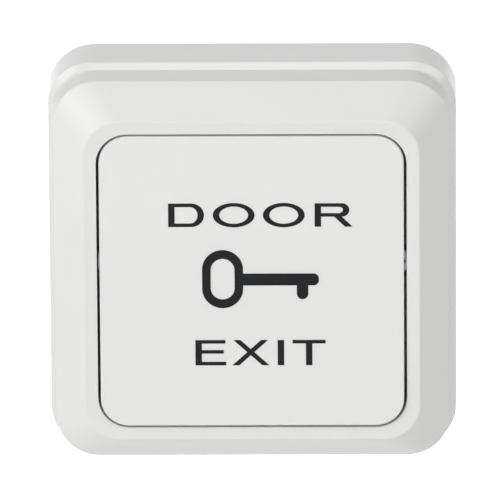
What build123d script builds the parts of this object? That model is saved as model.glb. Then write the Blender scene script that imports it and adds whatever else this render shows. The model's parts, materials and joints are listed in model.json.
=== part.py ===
from build123d import *
import math
import os

# A door exit button for surface mounting: a shallow back box, a bevelled frame and one large
# push button that swings on a hinge near its top edge and works a changeover switch.
# Everything is modelled lying on its back, with the wall plane at height 0, the top edge of the
# button towards +Y and the front facing up. stand() then sets it upright for export, so that the
# wall plane is the XZ plane, the front faces -Y and the origin is the centre of the back face.
# All sizes are in millimetres and all angles in degrees.

# Back box
box_side = 86.0  # across, where the bevel of the front edge starts
box_flare = 0.2  # how much further each side stands out at the wall
box_depth = 13.5
box_corner = 9.2  # where the bevel starts
box_wall_corner = 10.0  # at the wall
box_wall = 2.2
box_floor = 2.2
ledge = 1.3  # bevel of the front edge; the frame stands where it ends
ledge_round = 0.25  # where the bevel meets the box's side
boss_radius = 4.6
boss_rib = 2.0  # thickness of the rib from each boss to the side wall
boss_rib_drop = 3.0  # how much lower the rib ends than the boss
corner_post_radius = 3.0
corner_post_inset = 4.4  # from the plate's edge to the post's centre
wall_slot_width = 4.4
wall_slot_length = 9.0
wall_slot_inset_x = 13.0  # from the box's side to the middle of the slot, which sets them 60 apart
wall_slot_inset_y = 21.0  # from the box's top or bottom edge, which sets them 44 apart
cable_entry_width = 26.0
cable_entry_height = 18.0
cable_entry_corner = 3.0
cable_entry_clear = 3.5  # from the top of the switch to the entry's lower edge

# Front frame
frame_wall_rise = 7.6  # the upright side above the box
frame_slope_rise = 8.2
frame_slope_run = 6.3
rim_width = 2.8
rim_dish = 0.15  # how much lower the rim is at the opening than at its crest
frame_wall = 2.0
frame_corner = 9.1
crest_corner = 7.8
opening_corner = 6.6
edge_round = 0.6  # rounding of the frame's shoulder and crest
sleeve_wall = 1.5
sleeve_gap = 1.9  # between the heads of the plate's screws and the sleeve round the button
frame_hook_width = 6.0
frame_hook_thickness = 1.6
frame_hook_inset_x = 13.4  # from the plate's side to the middle of the hook
frame_hook_inset_y = 2.4  # from the plate's top or bottom edge
hook_barb = 1.0
hook_barb_rise = 1.4
hook_gap = 0.15  # between a barb and the plate that it catches

# Mounting plate
plate_thickness = 1.8
plate_gap = 0.3  # all round, between the plate and the inside of the frame
plate_rib_inset = 3.85  # from the plate's edge to the outside of its raised rib
plate_rib_width = 1.0
plate_rib_rise = 2.2
plate_screw_inset = 12.85  # from the box's side to the screw, which sets the two 60.3 apart
plate_slot_width = 4.6
plate_slot_length = 7.0
slot_gap = 0.4  # between a hook and the slot that it passes through
spigot_radius = 2.5
spigot_rise = 4.0
module_boss_radius = 2.6
module_boss_rise = 3.2

# Plate screws and the inserts that they turn into
screw_radius = 2.0
screw_length = 9.0
screw_head_radius = 3.7
screw_head_rise = 2.3
insert_radius = 3.0
insert_length = 7.0
thread_gap = 0.05
recess_width = 0.9  # of each arm of a screw's cross
recess_span = 0.6  # share of the head that the cross spans
recess_depth = 0.6  # share of the head's height

# Button
button_gap = 0.6  # all round, between the button and the frame
button_recess = 0.35  # from the crest down to the face when it is square with the frame
button_corner = 6.0
button_edge = 0.25  # rounding all round the face
button_thickness = 2.0
button_skirt = 1.6
button_skirt_depth = 6.05
rest_tilt = 1.0  # the face leans out this much at the bottom when nobody presses it
press_angle = 2.2
rib_thickness = 1.6
rib_rise = 2.5
upper_rib_inset = 18.0  # from the button's top edge
lower_rib_gap = 5.3  # below the return springs

# Hinge near the button's top edge
hinge_inset = 5.0  # from the button's edge to the hinge's axis
hinge_depth = 4.55  # from the face to the hinge's axis
hinge_pin_radius = 1.5
hinge_pin_gap = 0.06
hinge_pin_reach = 0.5  # beyond the ear
ear_thickness = 2.4
ear_side_gap = 0.4
ear_edge_inset = 3.6  # from the button's edge to the outside of the ear
ear_width = 5.2
ear_above_pin = 1.9
ear_mouth = 2.5
gusset_reach = 1.7  # from the ear's outer side
gusset_rise = 5.5
gusset_thickness = 1.4

# Hooks, stops and springs under the button
cap_hook_inset_x = 8.0  # from the button's edge to the middle of the hook
cap_hook_inset_y = 3.6
cap_hook_width = 5.0
cap_hook_thickness = 1.6
stop_inset_x = 20.0  # from the button's edge to the middle of the stop
stop_inset_y = 5.0
stop_radius = 2.2
stop_gap = 0.15
pad_radius = 3.0
pad_rise = 1.5
pad_stem_radius = 1.2
return_spring_inset = 8.0  # from the button's edge to the middle of the spring
return_spring_radius = 3.2
return_spring_wire = 0.3  # radius of the wire
return_spring_turns = 6
return_spring_gap = 0.3  # between a spring and the height of the boss beside it
spring_end_gap = 0.12

# Switch
plunger_y = -10.0
plunger_gap = 0.2  # between the button's pusher and the plunger
pusher_radius = 4.0
plunger_head_radius = 4.5
plunger_head_rise = 2.5
plunger_stem_width = 7.0
plunger_stem_height = 5.0
guide_gap = 0.15
nose_radius = 1.5
nose_length = 4.0
tower_radius = 5.0
tower_clear = 0.4  # between the plunger's head, pressed right in, and the tower
tower_gap = 0.2
switch_floor_gap = 0.8  # between the box's floor and the heads of the module screws
housing_half_width = 19.5
housing_below = 9.7  # from the plunger to the lower edge of the housing
housing_above = 21.0
housing_front_wall = 1.1
housing_corner = 1.5
cover_thickness = 1.0
chamber_half_height = 5.2
chamber_end_gap = 0.6  # between the pin's ears and the end of the chamber
fit_gap = 0.25  # between the metal pieces and the housing's pockets
module_screw_radius = 1.15
module_screw_inset = 2.4  # from the housing's edges to the screw
module_screw_head_radius = 2.1
module_screw_head_rise = 1.2
module_screw_gap = 0.15

# Contact blade, its pin and its spring
blade_arm = 16.0  # from the pin to the plunger
blade_tip_arm = 21.8  # from the pin to the moving contact
blade_width = 5.0
blade_thickness = 0.4
eye_radius = 1.05
blade_pin_radius = 0.6
blade_pin_gap = 0.05
nose_gap = 0.15
contact_radius = 1.3
moving_contact_rise = 0.4
fixed_contact_rise = 0.54
rivet_radius = 0.8
contact_gap = 0.08
contact_spring_radius = 1.7
contact_spring_wire = 0.18
contact_spring_turns = 4
contact_spring_arm = 10.0  # from the pin to the spring
contact_spigot_radius = 1.1
contact_spigot_rise = 1.0

# Terminals
terminal_pitch = 12.0
terminal_width = 7.0
terminal_length = 7.5
terminal_from_plunger = 9.0  # from the plunger to the lower end of each terminal block
strip_thickness = 0.6
strip_width = 4.0
nc_strip_width = 3.4
nc_strip_left = 4.0
pin_ear_thickness = 0.8
pin_ear_half_span = 3.8  # from the plunger's line to the middle of each ear
pin_ear_width = 2.4
wire_hole_radius = 1.3
wire_hole_depth = 2.3  # from the front of the terminal block to the hole's middle
wire_funnel_radius = 1.7
terminal_screw_radius = 1.4
terminal_screw_length = 2.3
terminal_screw_head_radius = 2.4
terminal_screw_head_rise = 1.3
terminal_screw_access_gap = 0.3

# Print on the button, from its centre: x to the right, y up
print_thickness = 0.06
stem = 1.35  # width of the letters' heavy strokes
bar = 0.76  # height of their thin strokes
upper_base = 12.07
upper_rise = 5.15
round_over = 0.1  # how much further the round letters reach above and below
d_left = -17.48
d_width = 7.53
d_bulge = 2.7
d_counter_bulge = 1.6
first_o_left = -8.1
second_o_left = 2.42
o_width = 8.76
r_left = 13.28
r_width = 7.29
r_bowl_rise = 2.93
r_bulge = 1.6
r_counter_bulge = 0.9
r_leg_top = 3.67
r_leg_foot = 6.37
r_leg_width = 1.6
lower_base = -18.55
lower_rise = 5.58
e_left = -11.97
e_width = 6.47
e_top_short = 0.15  # how much shorter the top bar is than the bottom bar
e_middle_short = 0.5
x_left = -4.18
x_width = 7.75
x_shoulder = 0.25  # how much narrower the cross is at its top, each side
x_stroke = 1.45
i_left = 5.36
t_left = 8.51
t_width = 6.94
bow_left = -10.45
bow_width = 8.62
bow_base = -5.88
bow_rise = 12.83
bow_stroke = 1.8
bow_end_stroke = 1.93
shaft_base = -0.87
shaft_rise = 2.62
shaft_end = 14.1
shaft_round = 1.1
bit_left = 9.46
bit_width = 2.4
bit_end = -3.92

# Places and sizes that follow from the ones above
box_half = box_side / 2
inner_half = box_half - box_wall
inner_corner = box_corner - box_wall
frame_half = box_half - ledge
shoulder_height = box_depth + frame_wall_rise
crest_height = shoulder_height + frame_slope_rise
crest_half = frame_half - frame_slope_run
opening_half = crest_half - rim_width
plate_half = frame_half - frame_wall - plate_gap
plate_corner = frame_corner - frame_wall - plate_gap
plate_rib_half = plate_half - plate_rib_inset
plate_rib_corner = plate_corner - plate_rib_inset
frame_hook_x = plate_half - frame_hook_inset_x
frame_hook_y = plate_half - frame_hook_inset_y
button_half = opening_half - button_gap
face_height = crest_height - button_recess
under_height = face_height - button_thickness
hinge_y = button_half - hinge_inset
hinge_height = face_height - hinge_depth
ear_outside = button_half - ear_edge_inset
ear_inside = ear_outside - ear_thickness
cap_hook_x = button_half - cap_hook_inset_x
cap_hook_y = -(button_half - cap_hook_inset_y)
stop_x = button_half - stop_inset_x
stop_y = -(button_half - stop_inset_y)
screw_x = box_half - plate_screw_inset
wall_slot_x = box_half - wall_slot_inset_x
wall_slot_y = box_half - wall_slot_inset_y

# Places in the switch along the wall
housing_low = plunger_y - housing_below
housing_high = plunger_y + housing_above
cable_entry_y = housing_high + cable_entry_clear + cable_entry_height / 2
terminal_low = plunger_y + terminal_from_plunger
terminal_y = terminal_low + terminal_length / 2
terminal_places = (-terminal_pitch, 0, terminal_pitch)
module_screw_places = (
    (-housing_half_width + module_screw_inset, housing_low + module_screw_inset),
    (housing_half_width - module_screw_inset, housing_high - module_screw_inset),
)
blade_pin_x = -blade_arm
tip_x = blade_pin_x + blade_tip_arm
no_strip_left = terminal_pitch - terminal_width / 2
chamber_left = blade_pin_x - pin_ear_width / 2 - chamber_end_gap
chamber_right = no_strip_left + strip_width + fit_gap
return_spring_x = button_half - return_spring_inset
return_spring_y = housing_low + module_screw_inset + module_boss_radius
return_spring_y += return_spring_gap + return_spring_radius + return_spring_wire
upper_rib_y = button_half - upper_rib_inset
lower_rib_y = return_spring_y - return_spring_radius - return_spring_wire
lower_rib_y -= lower_rib_gap + rib_thickness / 2

# The stroke of the button, the plunger and the blade
plunger_top = hinge_height - plunger_gap
plunger_head_low = plunger_top - plunger_head_rise
plunger_travel = (hinge_y - plunger_y) * math.radians(press_angle)
blade_swing = plunger_travel / blade_arm  # radians
tower_top = plunger_head_low - plunger_travel - tower_clear
tip_drop = blade_tip_arm * math.tan(blade_swing) + contact_radius * math.sin(blade_swing)

# Heights of what stands on the box's floor, one on the other
cover_rear = box_floor + switch_floor_gap + module_screw_head_rise
housing_rear = cover_rear + cover_thickness
no_face = housing_rear + strip_thickness + fixed_contact_rise
blade_height = no_face + contact_gap + tip_drop
blade_height += (blade_thickness / 2 + moving_contact_rise) / math.cos(blade_swing)
nc_face = blade_height + blade_thickness / 2 + moving_contact_rise + contact_gap
chamber_front = nc_face + fixed_contact_rise + strip_thickness
plate_back = chamber_front + housing_front_wall
plate_front = plate_back + plate_thickness
pad_top = plate_front + pad_rise
insert_bottom = plate_back - insert_length
sleeve_end = plate_front + screw_head_rise + sleeve_gap
wire_hole_height = chamber_front - wire_hole_depth


def both(distance):
    """The two places at this distance from the middle, left then right."""
    return (-distance, distance)


def square(half, corner, height):
    """A square face with rounded corners, centred, at one height."""
    return Plane.XY.offset(height) * RectangleRounded(2 * half, 2 * half, corner)


def slab(half, corner, low, high):
    """A square slab with rounded corners and upright sides."""
    return extrude(square(half, corner, low), high - low)


def taper(low, high):
    """A solid between two rounded squares, each given as half side, corner radius and height."""
    return loft([square(*low), square(*high)], ruled=True)


def block(x, y, width, length, low, high):
    """An upright block centred on x and y: width along X, length along Y."""
    return Pos(x, y, (low + high) / 2) * Box(width, length, high - low)


def span(left, right, near, far, low, high):
    """An upright block between two places along X and two along Y."""
    return block((left + right) / 2, (near + far) / 2, right - left, far - near, low, high)


def post(x, y, radius, low, high):
    """An upright round post, or the tool for a round hole."""
    return Pos(x, y, (low + high) / 2) * Cylinder(radius, high - low)


def rod_along_x(left, right, y, height, radius):
    return Pos((left + right) / 2, y, height) * Rot(0, 90, 0) * Cylinder(radius, right - left)


def rod_along_y(x, near, far, height, radius):
    return Pos(x, (near + far) / 2, height) * Rot(90, 0, 0) * Cylinder(radius, far - near)


def slot(x, y, length, width, low, high):
    """The tool for a slot with round ends, running along X."""
    outline = Plane.XY.offset(low) * Pos(x, y) * SlotOverall(length, width)
    return extrude(outline, high - low)


def coil(x, y, radius, wire, low, high, turns):
    """An open coil spring between two seats."""
    rise = high - low - 2 * (wire + spring_end_gap)
    path = Helix(rise / turns, rise, radius)
    section = Plane(origin=path @ 0, z_dir=path % 0) * Circle(wire)
    return Pos(x, y, low + wire + spring_end_gap) * sweep(section, path=path, is_frenet=True)


def barb(x, y, width, thickness, reach, low, rise, outwards):
    """The wedge at the end of a snap hook: flat above, sloping below, pointing along Y."""
    outline = Polygon(
        (0, 0),
        (reach + thickness / 2, rise - reach / 2),
        (reach + thickness / 2, rise),
        (0, rise),
        align=(Align.NONE, Align.NONE),
    )
    wedge = extrude(Plane.YZ * outline, width / 2, both=True)
    turned = wedge if outwards > 0 else mirror(wedge, about=Plane.XZ)
    return Pos(x, y, low) * turned


def pan_screw(x, y, seat, radius, length, head_radius, head_rise):
    """A pan-head screw standing on its seat with a cross recess in the head."""
    head = post(x, y, head_radius, seat, seat + head_rise)
    head = fillet(head.faces().sort_by(Axis.Z)[-1].edges(), head_rise / 3)
    arm = 2 * head_radius * recess_span
    recess_floor = seat + head_rise * (1 - recess_depth)
    head -= block(x, y, arm, recess_width, recess_floor, seat + head_rise)
    head -= block(x, y, recess_width, arm, recess_floor, seat + head_rise)
    shank = post(x, y, radius, seat - length, seat)
    shank = chamfer(shank.faces().sort_by(Axis.Z)[0].edges(), radius / 3)
    return head + shank


def from_behind(seat):
    """Turns a piece over, so that what stood up from this height hangs down from it."""
    return Pos(0, 0, seat) * Rot(0, 180, 0) * Pos(0, 0, -seat)


def lift(y):
    """How far a spot of the button stands out from its square place when nobody presses it."""
    return (hinge_y - y) * math.sin(math.radians(rest_tilt))


def drop(y):
    """How far a spot of the button goes in past its square place when it is pressed right in."""
    return (hinge_y - y) * math.sin(math.radians(press_angle - rest_tilt))


def at_rest(piece):
    """Swings a piece of the button from square with the frame to where its springs hold it."""
    hinge = Pos(0, hinge_y, hinge_height)
    back = Pos(0, -hinge_y, -hinge_height)
    return hinge * Rot(-rest_tilt, 0, 0) * back * piece


def stand(piece):
    """Sets a piece that was modelled on its back upright, with its front towards -Y."""
    return Rot(90, 0, 0) * piece


def wall_slot_places():
    return [(x, y) for x in both(wall_slot_x) for y in both(wall_slot_y)]


def back_box():
    at_wall = (box_half + box_flare, box_wall_corner, 0)
    bevel_rear = (box_half, box_corner, box_depth - ledge)
    bevel_front = (box_half - ledge, box_corner - ledge, box_depth)
    box = taper(at_wall, bevel_rear) + taper(bevel_rear, bevel_front)
    rear_edges = box.edges().filter_by_position(Axis.Z, bevel_rear[2], bevel_rear[2])
    box = fillet(rear_edges, ledge_round)
    box -= slab(inner_half, inner_corner, box_floor, box_depth)
    for x in both(screw_x):
        box += post(x, 0, boss_radius, box_floor, plate_back)
        wall_x = math.copysign(inner_half + box_wall / 2, x)
        rib_x = (x + wall_x) / 2
        box += block(rib_x, 0, abs(wall_x - x), boss_rib, box_floor, plate_back - boss_rib_drop)
    post_place = plate_half - corner_post_inset
    for x in both(post_place):
        for y in both(post_place):
            box += post(x, y, corner_post_radius, box_floor, plate_back)
    for x in both(screw_x):
        box -= post(x, 0, insert_radius + thread_gap, insert_bottom, plate_back)
        box -= post(x, 0, screw_radius + 2 * thread_gap, box_floor, insert_bottom)
    for x, y in wall_slot_places():
        box -= slot(x, y, wall_slot_length, wall_slot_width, 0, box_floor)
    entry = RectangleRounded(cable_entry_width, cable_entry_height, cable_entry_corner)
    box -= extrude(Pos(0, cable_entry_y) * entry, box_floor)
    return box


def boss_inserts():
    inserts = []
    for x in both(screw_x):
        sleeve = post(x, 0, insert_radius, insert_bottom, plate_back)
        inserts.append(sleeve - post(x, 0, screw_radius + thread_gap, insert_bottom, plate_back))
    return Part() + inserts


def plate_screws():
    sizes = (screw_radius, screw_length, screw_head_radius, screw_head_rise)
    return Part() + [pan_screw(x, 0, plate_front, *sizes) for x in both(screw_x)]


def frame_hook_places():
    return [(x, y) for x in both(frame_hook_x) for y in both(frame_hook_y)]


def frame_hook(x, y, top):
    """One of the frame's snap hooks, which catches the back of the plate."""
    catch = plate_back - hook_gap
    low = catch - hook_barb_rise
    outwards = math.copysign(1, y)
    leg = block(x, y, frame_hook_width, frame_hook_thickness, low, top)
    return leg + barb(
        x, y, frame_hook_width, frame_hook_thickness, hook_barb, low, hook_barb_rise, outwards
    )


def front_frame():
    frame = slab(frame_half, frame_corner, box_depth, shoulder_height)
    crest = (crest_half, crest_corner, crest_height)
    frame += taper((frame_half, frame_corner, shoulder_height), crest)
    frame -= taper((opening_half, opening_corner, crest_height - rim_dish), crest)
    outer_edges = frame.edges().filter_by_position(Axis.Z, shoulder_height, shoulder_height)
    frame = fillet(outer_edges, edge_round)
    crest_edges = frame.edges().filter_by_position(Axis.Z, crest_height, crest_height)
    frame = fillet(crest_edges, edge_round)
    low_inside = (frame_half - frame_wall, frame_corner - frame_wall, shoulder_height - frame_wall / 2)
    high_inside = (crest_half - frame_wall / 2, crest_corner - frame_wall / 2, crest_height - frame_wall)
    hollow = slab(low_inside[0], low_inside[1], box_depth, low_inside[2])
    hollow += taper(low_inside, high_inside)
    hollow -= slab(opening_half + sleeve_wall, opening_corner + sleeve_wall, sleeve_end, crest_height)
    frame -= hollow
    frame -= slab(opening_half, opening_corner, sleeve_end, crest_height)
    hook_top = shoulder_height + frame_slope_rise / 2
    for x, y in frame_hook_places():
        frame += frame_hook(x, y, hook_top)
    return frame


def hinge_ear(x):
    """An ear of the plate with a snap-in bearing for the button's hinge pin."""
    top = hinge_height + ear_above_pin
    ear = block(x, hinge_y, ear_thickness, ear_width, plate_back, top)
    left = x - ear_thickness / 2
    ear -= rod_along_x(left, left + ear_thickness, hinge_y, hinge_height, hinge_pin_radius + hinge_pin_gap)
    ear -= block(x, hinge_y, ear_thickness, ear_mouth, hinge_height, top)
    return ear + gusset(x)


def gusset(x):
    """The triangular web on the outer side of a hinge ear."""
    side = math.copysign(1, x)
    root = x + side * ear_thickness / 2
    web = outline(
        (root, plate_front),
        (root + side * gusset_reach, plate_front),
        (root, plate_front + gusset_rise),
    )
    upright = Pos(0, hinge_y) * (Plane.XZ * web)
    return extrude(upright, gusset_thickness / 2, both=True)


def cap_hook_slot(x):
    """The plate's slot for a hook of the button, long enough for the hook's swing."""
    depth = hinge_height - plate_back
    outer = cap_hook_y - cap_hook_thickness / 2 - depth * math.sin(math.radians(rest_tilt)) - slot_gap
    swing = depth * math.sin(math.radians(press_angle - rest_tilt))
    inner = cap_hook_y + cap_hook_thickness / 2 + swing + slot_gap
    half = cap_hook_width / 2 + slot_gap
    return span(x - half, x + half, outer, inner, plate_back, plate_front)


def frame_hook_slot(x, y):
    width = frame_hook_width + 2 * slot_gap
    length = frame_hook_thickness + 2 * slot_gap
    return block(x, y, width, length, plate_back, plate_front)


def plate_rib():
    """The raised rib that stiffens the plate all round."""
    top = plate_front + plate_rib_rise
    inside = (plate_rib_half - plate_rib_width, plate_rib_corner - plate_rib_width)
    return slab(plate_rib_half, plate_rib_corner, plate_front, top) - slab(*inside, plate_front, top)


def mounting_plate():
    plate = slab(plate_half, plate_corner, plate_back, plate_front) + plate_rib()
    plate -= post(0, plunger_y, tower_radius + tower_gap, plate_back, plate_front)
    for x in both(screw_x):
        plate -= slot(x, 0, plate_slot_length, plate_slot_width, plate_back, plate_front)
    for x, y in frame_hook_places():
        plate -= frame_hook_slot(x, y)
    for x in both(cap_hook_x):
        plate -= cap_hook_slot(x)
    for x in both(ear_inside + ear_thickness / 2):
        plate += hinge_ear(x)
    for x in both(return_spring_x):
        plate += post(x, return_spring_y, spigot_radius, plate_front, plate_front + spigot_rise)
    for x in both(stop_x):
        plate -= post(x, stop_y, pad_stem_radius, plate_back, plate_front)
    for x, y in module_screw_places:
        boss_top = plate_front + module_boss_rise
        plate += post(x, y, module_boss_radius, plate_front, boss_top)
        plate -= post(x, y, module_screw_radius + thread_gap, plate_back, boss_top)
    return plate


def stop_pads():
    pads = []
    for x in both(stop_x):
        pad = post(x, stop_y, pad_radius, plate_front, pad_top)
        pads.append(pad + post(x, stop_y, pad_stem_radius, plate_back, plate_front))
    return Part() + pads


def return_spring(x):
    seat_lift = lift(return_spring_y + return_spring_radius)
    sizes = (return_spring_radius, return_spring_wire, plate_front, under_height + seat_lift)
    return coil(x, return_spring_y, *sizes, return_spring_turns)


def hinge_arm(x):
    """The rib that carries a hinge pin outwards into the plate's ear."""
    inner = ear_inside - ear_side_gap
    side = math.copysign(1, x)
    top = under_height + button_thickness / 2
    arm_y = hinge_y + hinge_inset - button_skirt
    arm = span(
        inner - rib_thickness, inner, hinge_y - 2 * hinge_pin_radius, arm_y,
        hinge_height - hinge_pin_radius - button_edge, top,
    )
    rib = span(inner - rib_thickness, inner, plunger_y + tower_radius, arm_y, under_height - rib_rise, top)
    pin_end = ear_outside + hinge_pin_reach
    pin = rod_along_x(inner - rib_thickness, pin_end, hinge_y, hinge_height, hinge_pin_radius)
    whole = arm + rib + chamfer(pin.faces().sort_by(Axis.X)[-1].edges(), hinge_pin_reach / 2)
    return whole if side > 0 else mirror(whole, about=Plane.YZ)


def cap_hook(x):
    """A hook of the button: it catches the back of the plate and so sets the rest position."""
    reach = cap_hook_thickness / 2 + hook_barb
    catch = plate_back - hook_gap - lift(cap_hook_y - reach)
    low = catch - hook_barb_rise
    leg = block(x, cap_hook_y, cap_hook_width, cap_hook_thickness, low, under_height)
    return leg + barb(
        x, cap_hook_y, cap_hook_width, cap_hook_thickness, hook_barb, low, hook_barb_rise, -1
    )


def button_cap():
    skirt_end = face_height - button_skirt_depth
    cap = slab(button_half, button_corner, skirt_end, face_height)
    cap = fillet(cap.faces().sort_by(Axis.Z)[-1].edges(), button_edge)
    cap -= slab(button_half - button_skirt, button_corner - button_skirt, skirt_end, under_height)
    inside = 2 * (button_half - button_skirt)
    for y in (upper_rib_y, lower_rib_y):
        cap += block(0, y, inside, rib_thickness, under_height - rib_rise, under_height)
    for x in both(ear_inside):
        cap += hinge_arm(x)
    for x in both(cap_hook_x):
        cap += cap_hook(x)
    for x in both(stop_x):
        cap += post(x, stop_y, stop_radius, pad_top + stop_gap + drop(stop_y), under_height)
    for x in both(return_spring_x):
        cap += post(x, return_spring_y, spigot_radius, under_height - spigot_rise, under_height)
    cap += post(0, plunger_y, pusher_radius, hinge_height - lift(plunger_y), under_height)
    return at_rest(cap)


def rectangle(left, right, low, high):
    return Pos((left + right) / 2, (low + high) / 2) * Rectangle(right - left, high - low)


def bowl(left, right, low, high, bulge):
    """A bar whose right end is half an ellipse."""
    end = Pos(right - bulge, (low + high) / 2) * Ellipse(bulge, (high - low) / 2)
    return rectangle(left, right - bulge, low, high) + end


def outline(*points):
    return Polygon(*points, align=(Align.NONE, Align.NONE))


def letter_d(left, low, high):
    right = left + d_width
    counter = bowl(left + stem, right - stem, low + bar, high - bar, d_counter_bulge)
    return bowl(left, right, low, high, d_bulge) - counter


def letter_o(left, low, high):
    centre = Pos(left + o_width / 2, (low + high) / 2)
    half_rise = (high - low) / 2 + round_over
    return centre * (Ellipse(o_width / 2, half_rise) - Ellipse(o_width / 2 - stem, half_rise - bar))


def letter_r(left, low, high):
    right = left + r_width
    bowl_low = high - r_bowl_rise
    counter = bowl(left + stem, right - stem, bowl_low + bar, high - bar, r_counter_bulge)
    leg = outline(
        (left + r_leg_top, bowl_low + bar / 2),
        (left + r_leg_foot, low),
        (left + r_leg_foot + r_leg_width, low),
        (left + r_leg_top + r_leg_width, bowl_low + bar / 2),
    )
    body = bowl(left, right, bowl_low, high, r_bulge) - counter
    return body + rectangle(left, left + stem, low, high) + leg


def letter_e(left, low, high):
    right = left + e_width
    middle = (low + high) / 2 + bar / 4
    letter = rectangle(left, left + stem, low, high)
    letter += rectangle(left, right, low, low + bar)
    letter += rectangle(left, right - e_middle_short, middle - bar / 2, middle + bar / 2)
    return letter + rectangle(left, right - e_top_short, high - bar, high)


def letter_x(left, low, high):
    right = left + x_width
    rising = outline(
        (left, low),
        (left + x_stroke, low),
        (right - x_shoulder, high),
        (right - x_shoulder - x_stroke, high),
    )
    falling = outline(
        (left + x_shoulder, high),
        (right - x_stroke, low),
        (right, low),
        (left + x_shoulder + x_stroke, high),
    )
    return rising + falling


def letter_i(left, low, high):
    return rectangle(left, left + stem, low, high)


def letter_t(left, low, high):
    middle = left + t_width / 2
    upright = rectangle(middle - stem / 2, middle + stem / 2, low, high)
    return upright + rectangle(left, left + t_width, high - bar, high)


def printed(figure):
    """A print layer of this outline on the face of the button."""
    return at_rest(extrude(Plane.XY.offset(face_height) * figure, print_thickness))


def upper_word():
    low = upper_base
    high = upper_base + upper_rise
    word = letter_d(d_left, low, high) + letter_o(first_o_left, low, high)
    word += letter_o(second_o_left, low, high)
    return printed(word + letter_r(r_left, low, high))


def lower_word():
    low = lower_base
    high = lower_base + lower_rise
    word = letter_e(e_left, low, high) + letter_x(x_left, low, high)
    word += letter_i(i_left, low, high)
    return printed(word + letter_t(t_left, low, high))


def key_figure():
    centre = Pos(bow_left + bow_width / 2, bow_base + bow_rise / 2)
    bow = SlotOverall(bow_rise, bow_width, rotation=90)
    bow_hole = SlotOverall(bow_rise - 2 * bow_end_stroke, bow_width - 2 * bow_stroke, rotation=90)
    shaft = rectangle(bow_left + bow_width - bow_stroke / 2, shaft_end, shaft_base, shaft_base + shaft_rise)
    shaft = fillet(shaft.vertices().sort_by(Axis.X)[-2:], shaft_round)
    bit = rectangle(bit_left, bit_left + bit_width, bit_end + bit_width / 2, shaft_base + shaft_rise / 2)
    bit_tip = Pos(bit_left + bit_width / 2, bit_end + bit_width / 2) * Circle(bit_width / 2)
    return printed(centre * (bow - bow_hole) + shaft + bit + bit_tip)


def housing_outline(low, high):
    width = 2 * housing_half_width
    length = housing_high - housing_low
    plan = Pos(0, (housing_high + housing_low) / 2) * RectangleRounded(width, length, housing_corner)
    return extrude(Plane.XY.offset(low) * plan, high - low)


def switch_housing():
    housing = housing_outline(housing_rear, plate_back)
    housing += post(0, plunger_y, tower_radius, plate_back, tower_top)
    chamber_low = plunger_y - chamber_half_height
    chamber_high = plunger_y + chamber_half_height
    housing -= span(chamber_left, chamber_right, chamber_low, chamber_high, housing_rear, chamber_front)
    pocket_half = terminal_width / 2 + fit_gap
    pocket_low = terminal_low - fit_gap
    pocket_high = terminal_low + terminal_length + fit_gap
    for x in terminal_places:
        pocket = (x - pocket_half, x + pocket_half, pocket_low, pocket_high)
        housing -= span(*pocket, housing_rear, chamber_front)
        housing -= rod_along_y(x, pocket_high, housing_high, wire_hole_height, wire_funnel_radius)
    for left, right in strip_channels():
        channel = (left - fit_gap, right + fit_gap, chamber_high, pocket_low)
        housing -= span(*channel, housing_rear, chamber_front)
    nc_right = nc_strip_left + nc_strip_width
    shelf = (0, nc_right + fit_gap, pocket_low, nc_shelf_high() + fit_gap)
    housing -= span(*shelf, housing_rear, chamber_front)
    stem_width = plunger_stem_width + 2 * guide_gap
    stem_length = plunger_stem_height + 2 * guide_gap
    housing -= block(0, plunger_y, stem_width, stem_length, chamber_front, tower_top)
    for x, y in module_screw_places:
        housing -= post(x, y, module_screw_radius + module_screw_gap, housing_rear, plate_back)
    return housing


def strip_channels():
    """Left and right edges of each strip where it passes from its terminal to the contacts."""
    com_right = -terminal_pitch + terminal_width / 2
    return (
        (com_right - terminal_width + fit_gap, com_right),
        (nc_strip_left, nc_strip_left + nc_strip_width),
        (no_strip_left, no_strip_left + strip_width),
    )


def nc_shelf_high():
    """Upper edge of the tab that joins the normally closed strip to its block."""
    return terminal_low + strip_width / 2


def switch_cover():
    cover = housing_outline(cover_rear, housing_rear)
    for x in terminal_places:
        access = terminal_screw_head_radius + terminal_screw_access_gap
        cover -= post(x, terminal_y, access, cover_rear, housing_rear)
    for x, y in module_screw_places:
        cover -= post(x, y, module_screw_radius + module_screw_gap, cover_rear, housing_rear)
    spring_x = blade_pin_x + contact_spring_arm
    spigot_top = housing_rear + contact_spigot_rise
    return cover + post(spring_x, plunger_y, contact_spigot_radius, housing_rear, spigot_top)


def module_screws():
    length = plate_front + module_boss_rise - cover_rear
    sizes = (module_screw_radius, length, module_screw_head_radius, module_screw_head_rise)
    turned = from_behind(cover_rear)
    return Part() + [turned * pan_screw(-x, y, cover_rear, *sizes) for x, y in module_screw_places]


def plunger():
    head = post(0, plunger_y, plunger_head_radius, plunger_head_low, plunger_top)
    head = fillet(head.faces().sort_by(Axis.Z)[-1].edges(), plunger_head_rise / 4)
    stem_size = (plunger_stem_width, plunger_stem_height)
    body = block(0, plunger_y, *stem_size, chamber_front, plunger_head_low)
    nose_low = blade_height + blade_thickness / 2 + nose_gap
    nose_centre = nose_low + nose_radius
    nose_near = plunger_y - nose_length / 2
    nose = rod_along_y(0, nose_near, nose_near + nose_length, nose_centre, nose_radius)
    nose += block(0, plunger_y, 2 * nose_radius, nose_length, nose_centre, plunger_head_low)
    return head + body + nose


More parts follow.
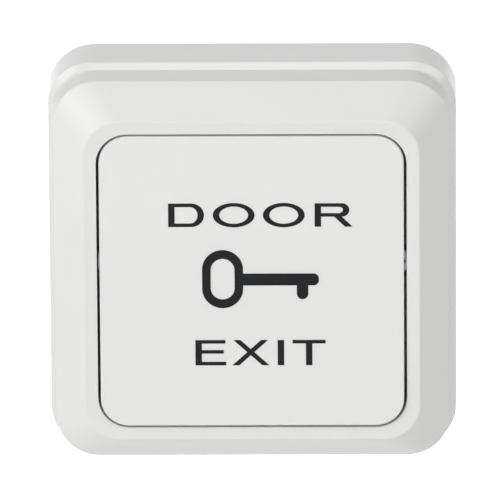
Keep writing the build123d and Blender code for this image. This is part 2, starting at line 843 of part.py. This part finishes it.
def contact_blade():
    low = blade_height - blade_thickness / 2
    high = blade_height + blade_thickness / 2
    near = plunger_y - blade_width / 2
    far = plunger_y + blade_width / 2
    blade = span(blade_pin_x, tip_x, near, far, low, high)
    blade += post(tip_x, plunger_y, blade_width / 2, low, high)
    blade -= span(tip_x + contact_radius, tip_x + blade_width, near, far, low, high)
    blade += rod_along_y(blade_pin_x, near, far, blade_height, eye_radius)
    blade -= rod_along_y(blade_pin_x, near, far, blade_height, blade_pin_radius + blade_pin_gap)
    return blade - post(tip_x, plunger_y, rivet_radius, low, high)


def moving_contact():
    low = blade_height - blade_thickness / 2
    high = blade_height + blade_thickness / 2
    rivet = post(tip_x, plunger_y, rivet_radius, low, high)
    rivet += post(tip_x, plunger_y, contact_radius, low - moving_contact_rise, low)
    return rivet + post(tip_x, plunger_y, contact_radius, high, high + moving_contact_rise)


def blade_pin():
    reach = pin_ear_half_span + pin_ear_thickness
    near = plunger_y - reach
    return rod_along_y(blade_pin_x, near, near + 2 * reach, blade_height, blade_pin_radius)


def contact_spring():
    x = blade_pin_x + contact_spring_arm
    high = blade_height - blade_thickness / 2
    sizes = (contact_spring_radius, contact_spring_wire, housing_rear, high, contact_spring_turns)
    return coil(x, plunger_y, *sizes)


def terminal_block(x):
    """The brass block of one terminal, with its wire hole and the screw hole that crosses it."""
    high = terminal_low + terminal_length
    left = x - terminal_width / 2
    body = span(left, left + terminal_width, terminal_low, high, housing_rear, chamber_front)
    body -= rod_along_y(x, terminal_low, high, wire_hole_height, wire_hole_radius)
    return body - post(x, terminal_y, terminal_screw_radius + thread_gap, housing_rear, wire_hole_height)


def com_terminal():
    left = blade_pin_x - pin_ear_width / 2
    right = -terminal_pitch + terminal_width / 2
    strip_top = housing_rear + strip_thickness
    ear_top = blade_height + blade_pin_radius + strip_thickness
    neck = -terminal_pitch - terminal_width / 2 + fit_gap
    foot_high = plunger_y + pin_ear_half_span + pin_ear_thickness / 2
    foot_low = plunger_y - pin_ear_half_span - pin_ear_thickness / 2
    terminal = terminal_block(-terminal_pitch)
    terminal += span(neck, right, foot_low, terminal_low, housing_rear, strip_top)
    terminal += span(left, neck, foot_low, foot_high, housing_rear, strip_top)
    for y in both(pin_ear_half_span):
        ear_y = plunger_y + y
        terminal += block(blade_pin_x, ear_y, pin_ear_width, pin_ear_thickness, housing_rear, ear_top)
    hole_low = foot_low
    hole = rod_along_y(blade_pin_x, hole_low, foot_high, blade_height, blade_pin_radius + thread_gap)
    return terminal - hole


def nc_terminal():
    right = nc_strip_left + nc_strip_width
    strip_low = chamber_front - strip_thickness
    foot = plunger_y - blade_width / 2
    terminal = terminal_block(0)
    terminal += span(nc_strip_left, right, foot, nc_shelf_high(), strip_low, chamber_front)
    terminal += span(0, right, terminal_low, nc_shelf_high(), strip_low, chamber_front)
    terminal -= rod_along_y(0, terminal_low, nc_shelf_high(), wire_hole_height, wire_hole_radius)
    return terminal - post(tip_x, plunger_y, rivet_radius, strip_low, chamber_front)


def no_terminal():
    left = no_strip_left
    strip_top = housing_rear + strip_thickness
    near = plunger_y - blade_width / 2
    far = plunger_y + blade_width / 2
    terminal = terminal_block(terminal_pitch)
    terminal += span(left, left + strip_width, near, terminal_low, housing_rear, strip_top)
    terminal += span(tip_x - contact_radius, left, near, far, housing_rear, strip_top)
    return terminal - post(tip_x, plunger_y, rivet_radius, housing_rear, strip_top)


def nc_contact():
    strip_low = chamber_front - strip_thickness
    rivet = post(tip_x, plunger_y, contact_radius, nc_face, strip_low)
    return rivet + post(tip_x, plunger_y, rivet_radius, strip_low, chamber_front)


def no_contact():
    strip_top = housing_rear + strip_thickness
    rivet = post(tip_x, plunger_y, contact_radius, strip_top, no_face)
    return rivet + post(tip_x, plunger_y, rivet_radius, housing_rear, strip_top)


def terminal_screws():
    turned = from_behind(housing_rear)
    head = (terminal_screw_head_radius, terminal_screw_head_rise)
    sizes = (terminal_screw_radius, terminal_screw_length, *head)
    return Part() + [turned * pan_screw(x, terminal_y, housing_rear, *sizes) for x in terminal_places]


pieces = {
    "back_box": back_box(),
    "boss_inserts": boss_inserts(),
    "mounting_plate": mounting_plate(),
    "plate_screws": plate_screws(),
    "front_frame": front_frame(),
    "stop_pads": stop_pads(),
    "return_spring_left": return_spring(-return_spring_x),
    "return_spring_right": return_spring(return_spring_x),
    "button_cap": button_cap(),
    "print_upper_word": upper_word(),
    "print_key": key_figure(),
    "print_lower_word": lower_word(),
    "switch_housing": switch_housing(),
    "switch_cover": switch_cover(),
    "module_screws": module_screws(),
    "plunger": plunger(),
    "contact_blade": contact_blade(),
    "moving_contact": moving_contact(),
    "blade_pin": blade_pin(),
    "contact_spring": contact_spring(),
    "com_terminal": com_terminal(),
    "nc_terminal": nc_terminal(),
    "no_terminal": no_terminal(),
    "nc_contact": nc_contact(),
    "no_contact": no_contact(),
    "terminal_screws": terminal_screws(),
}

os.makedirs("parts", exist_ok=True)
for name, piece in pieces.items():
    export_step(stand(piece), f"parts/{name}.step")
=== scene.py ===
import json
import math

import bpy
from mathutils import Matrix, Vector

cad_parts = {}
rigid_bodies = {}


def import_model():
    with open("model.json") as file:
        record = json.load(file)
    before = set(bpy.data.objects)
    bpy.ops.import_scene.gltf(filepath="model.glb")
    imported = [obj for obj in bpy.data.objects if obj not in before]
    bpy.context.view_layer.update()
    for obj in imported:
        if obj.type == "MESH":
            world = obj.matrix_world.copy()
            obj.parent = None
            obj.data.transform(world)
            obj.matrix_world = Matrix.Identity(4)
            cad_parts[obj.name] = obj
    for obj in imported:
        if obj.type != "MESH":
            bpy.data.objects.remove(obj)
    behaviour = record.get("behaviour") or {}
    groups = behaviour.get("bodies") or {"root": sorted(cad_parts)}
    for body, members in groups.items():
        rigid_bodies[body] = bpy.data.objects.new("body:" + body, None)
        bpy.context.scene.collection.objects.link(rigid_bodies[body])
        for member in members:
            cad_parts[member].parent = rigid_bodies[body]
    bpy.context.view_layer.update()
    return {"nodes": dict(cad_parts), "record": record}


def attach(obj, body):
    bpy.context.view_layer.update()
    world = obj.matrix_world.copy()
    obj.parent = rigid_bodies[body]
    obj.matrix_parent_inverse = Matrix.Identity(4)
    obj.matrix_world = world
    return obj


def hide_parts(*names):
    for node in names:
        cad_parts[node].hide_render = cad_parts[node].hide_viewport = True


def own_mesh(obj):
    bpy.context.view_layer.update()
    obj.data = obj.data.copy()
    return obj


# The looks of a door exit button: moulded white plastic with dark print, seen a little from
# above against white. Everything is in metres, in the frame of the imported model: X to the
# right, Y into the wall and Z up, with the origin in the middle of the back face.

for leftover in list(bpy.data.objects):
    bpy.data.objects.remove(leftover)
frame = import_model()

scene = bpy.context.scene
scene.view_settings.view_transform = "Standard"

# Camera, worked out from the straight edges that the photograph shows
camera_elevation = math.radians(18.9)
camera_pan = math.radians(0.82)
camera_roll = math.radians(0.40)
camera_distance = 2.5
camera_lens = 846.5
camera_reach = 20
aim_right = -0.000755  # from the origin to the middle of the picture, along the picture
aim_up = -0.00283

# Light and floor
ambient_strength = 0.19
pure_white = (1, 1, 1, 1)
floor_white = (0.85, 0.85, 0.85, 1)
floor_drop = 0.25
floor_reach = 3.0

# Finishes: most of a noise lies between the two levels, and tints change over broader spots
noise_low = 0.3
noise_high = 0.7
noise_detail = 3.0
tint_spread = 60
white = (0.805, 0.805, 0.797)
# The button's white is a little lighter than the box's: painted light, standing in for more light on
# the button
button_white_painted_light = (0.812, 0.812, 0.804)


def direction(azimuth, elevation):
    """From the object towards a place around it. Azimuth 0 is in front and grows to the right."""
    flat = math.cos(elevation)
    return Vector((math.sin(azimuth) * flat, -math.cos(azimuth) * flat, math.sin(elevation)))


def make_camera():
    """A far camera with a long lens, rolled a little as in the photograph."""
    back = direction(camera_pan, camera_elevation)
    right = Vector((0, 0, 1)).cross(back).normalized()
    up = back.cross(right)
    turned_right = right * math.cos(camera_roll) - up * math.sin(camera_roll)
    turned_up = up * math.cos(camera_roll) + right * math.sin(camera_roll)
    place = back * camera_distance + right * aim_right + up * aim_up
    data = bpy.data.cameras.new("camera")
    data.lens = camera_lens
    data.clip_end = camera_reach
    camera = bpy.data.objects.new("camera", data)
    scene.collection.objects.link(camera)
    turn = Matrix((turned_right, turned_up, back)).transposed().to_4x4()
    camera.matrix_world = Matrix.Translation(place) @ turn
    scene.camera = camera


def make_lamp(name, azimuth, elevation, distance, size, power):
    """A square soft light that looks at the object. Angles are in degrees, power in watts."""
    data = bpy.data.lights.new(name, "AREA")
    data.size = size
    data.energy = power
    lamp = bpy.data.objects.new(name, data)
    scene.collection.objects.link(lamp)
    towards = direction(math.radians(azimuth), math.radians(elevation))
    lamp.location = towards * distance
    lamp.rotation_euler = towards.to_track_quat("Z", "Y").to_euler()


def seen_directly(nodes, links):
    """A factor of 1 for what the camera, a reflection or a clear piece sees, and 0 for light."""
    path = nodes.new("ShaderNodeLightPath")
    camera_or_glossy = nodes.new("ShaderNodeMath")
    camera_or_glossy.operation = "MAXIMUM"
    any_direct = nodes.new("ShaderNodeMath")
    any_direct.operation = "MAXIMUM"
    links.new(path.outputs["Is Camera Ray"], camera_or_glossy.inputs[0])
    links.new(path.outputs["Is Glossy Ray"], camera_or_glossy.inputs[1])
    links.new(camera_or_glossy.outputs[0], any_direct.inputs[0])
    links.new(path.outputs["Is Transmission Ray"], any_direct.inputs[1])
    return any_direct.outputs[0]


def make_world():
    """White where it is seen directly, and a weak even light on the object."""
    world = bpy.data.worlds.new("studio")
    scene.world = world
    world.use_nodes = True
    nodes = world.node_tree.nodes
    links = world.node_tree.links
    nodes.clear()
    light = nodes.new("ShaderNodeBackground")
    light.inputs["Color"].default_value = pure_white
    light.inputs["Strength"].default_value = ambient_strength
    backdrop = nodes.new("ShaderNodeBackground")
    backdrop.inputs["Color"].default_value = pure_white
    backdrop.inputs["Strength"].default_value = 1
    mix = nodes.new("ShaderNodeMixShader")
    output = nodes.new("ShaderNodeOutputWorld")
    links.new(seen_directly(nodes, links), mix.inputs["Fac"])
    links.new(light.outputs[0], mix.inputs[1])
    links.new(backdrop.outputs[0], mix.inputs[2])
    links.new(mix.outputs[0], output.inputs["Surface"])


def floor_material():
    """A pale surface with a glow that shows it white."""
    material = bpy.data.materials.new("floor_white")
    material.use_nodes = True
    nodes = material.node_tree.nodes
    links = material.node_tree.links
    nodes.clear()
    pale = nodes.new("ShaderNodeBsdfDiffuse")
    pale.inputs["Color"].default_value = floor_white
    glow = nodes.new("ShaderNodeEmission")
    glow.inputs["Color"].default_value = pure_white
    links.new(seen_directly(nodes, links), glow.inputs["Strength"])
    both = nodes.new("ShaderNodeAddShader")
    output = nodes.new("ShaderNodeOutputMaterial")
    links.new(pale.outputs[0], both.inputs[0])
    links.new(glow.outputs[0], both.inputs[1])
    links.new(both.outputs[0], output.inputs["Surface"])
    return material


def make_floor():
    """A square floor below the object."""
    mesh = bpy.data.meshes.new("floor")
    corners = [(-1, -1), (1, -1), (1, 1), (-1, 1)]
    places = [(x * floor_reach, y * floor_reach, -floor_drop) for x, y in corners]
    mesh.from_pydata(places, [], [(0, 1, 2, 3)])
    floor = bpy.data.objects.new("floor", mesh)
    scene.collection.objects.link(floor)
    mesh.materials.append(floor_material())


def grain(nodes, links, size):
    """Soft noise whose spots are about this many metres across."""
    place = nodes.new("ShaderNodeTexCoord")
    noise = nodes.new("ShaderNodeTexNoise")
    noise.inputs["Scale"].default_value = 1 / size
    noise.inputs["Detail"].default_value = noise_detail
    links.new(place.outputs["Object"], noise.inputs["Vector"])
    return noise.outputs["Fac"]


def spread(nodes, links, value, low, high):
    """Carries a noise over to the range from low to high."""
    carry = nodes.new("ShaderNodeMapRange")
    carry.inputs["From Min"].default_value = noise_low
    carry.inputs["From Max"].default_value = noise_high
    carry.inputs["To Min"].default_value = low
    carry.inputs["To Max"].default_value = high
    links.new(value, carry.inputs["Value"])
    return carry.outputs["Result"]


def tinted(nodes, links, value, colour, change):
    """The colour, made darker and lighter by this share where the noise is low and high."""
    ramp = nodes.new("ShaderNodeValToRGB")
    low, high = ramp.color_ramp.elements
    low.position = noise_low
    high.position = noise_high
    low.color = (*(c * (1 - change) for c in colour), 1)
    high.color = (*(min(1, c * (1 + change)) for c in colour), 1)
    links.new(value, ramp.inputs["Fac"])
    return ramp.outputs["Color"]


def make_material(name, colour, roughness, grain_size, bump, change=0.01, metallic=0.0, specular=0.5):
    """A plain finish with fine grain: roughness is a range, bump the grain's height in metres."""
    material = bpy.data.materials.new(name)
    material.use_nodes = True
    nodes = material.node_tree.nodes
    links = material.node_tree.links
    nodes.clear()
    shader = nodes.new("ShaderNodeBsdfPrincipled")
    shader.inputs["Metallic"].default_value = metallic
    shader.inputs["Specular IOR Level"].default_value = specular
    broad = grain(nodes, links, tint_spread * grain_size)
    fine = grain(nodes, links, grain_size)
    links.new(tinted(nodes, links, broad, colour, change), shader.inputs["Base Color"])
    links.new(spread(nodes, links, fine, *roughness), shader.inputs["Roughness"])
    rise = nodes.new("ShaderNodeBump")
    rise.inputs["Distance"].default_value = bump
    links.new(fine, rise.inputs["Height"])
    links.new(rise.outputs["Normal"], shader.inputs["Normal"])
    output = nodes.new("ShaderNodeOutputMaterial")
    links.new(shader.outputs[0], output.inputs["Surface"])
    return material


def make_metal(name, colour, roughness, grain_size, bump, change=0.05):
    """Bare metal, whose tint changes more than that of a plastic."""
    return make_material(name, colour, roughness, grain_size, bump, change, metallic=1.0)


def make_print():
    """Matt ink that hardly shines."""
    ink = (0.015, 0.0155, 0.017)
    return make_material("dark_print", ink, (0.5, 0.65), 0.0003, 2e-6, change=0.1, specular=0.1)


finishes = {
    "white_box": make_material("satin_white", white, (0.2, 0.26), 0.0004, 3e-7),
    "white_frame": make_material("frame_white", white, (0.38, 0.44), 0.0004, 5e-7),
    # The button gets the lighter white, which is painted light on it
    "white_button": make_material("button_white_painted_light", button_white_painted_light, (0.3, 0.36), 0.0004, 5e-7),
    "print": make_print(),
    "inner_plastic": make_material("plain_white", (0.72, 0.72, 0.70), (0.45, 0.55), 0.0005, 5e-6),
    "switch_plastic": make_material("black_plastic", (0.03, 0.03, 0.032), (0.4, 0.55), 0.0004, 1e-5),
    "brass": make_metal("brass", (0.75, 0.55, 0.27), (0.22, 0.38), 0.0003, 3e-6),
    "blade_bronze": make_metal("bronze_strip", (0.72, 0.45, 0.28), (0.2, 0.35), 0.0003, 3e-6),
    "contact_silver": make_metal("dull_silver", (0.85, 0.85, 0.83), (0.3, 0.45), 0.0002, 3e-6, 0.03),
    "zinc_steel": make_metal("zinc_plate", (0.63, 0.65, 0.67), (0.25, 0.4), 0.0003, 4e-6),
    "spring_steel": make_metal("spring_wire", (0.5, 0.5, 0.5), (0.25, 0.35), 0.0002, 2e-6, 0.04),
    "pad_rubber": make_material("black_rubber", (0.03, 0.03, 0.03), (0.7, 0.85), 0.0003, 1e-5, 0.1),
}


def dress_nodes():
    """Gives each CAD node the finish of its slot."""
    for part in frame["record"]["subparts"]:
        node = frame["nodes"][part["node"]]
        for place in node.material_slots:
            place.material = finishes[part["material_slot"]]


def close_springs():
    """Puts a copy in place of each spring, on the body of its joint's parent, and hides the spring
    node.
    """
    for joint in frame["record"]["behaviour"]["joints"]:
        for row in joint.get("deforming_nodes", []):
            node = frame["nodes"][row["node"]]
            spring = bpy.data.objects.new(row["node"] + "_coil", node.data.copy())
            scene.collection.objects.link(spring)
            spring.matrix_world = node.matrix_world
            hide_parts(row["node"])
            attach(spring, joint["parent"])
            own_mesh(spring)


make_camera()
make_world()
make_floor()
make_lamp("left_box", -60, 18, 1.2, 0.5, 5.2)
make_lamp("left_upper_box", -68, 42, 1.2, 0.6, 2.0)
make_lamp("front_box", 10, 12, 1.4, 0.7, 3.8)
make_lamp("low_box", 0, -18, 1.0, 0.3, 1.2)
make_lamp("upper_box", 0, 45, 1.3, 0.7, 0.5)
make_lamp("high_box", 0, 69, 1.3, 0.34, 0.8)
make_lamp("top_box", 0, 100, 1.3, 0.5, 1.0)
make_lamp("right_box", 60, 42, 1.2, 0.6, 3.15)
dress_nodes()
close_springs()
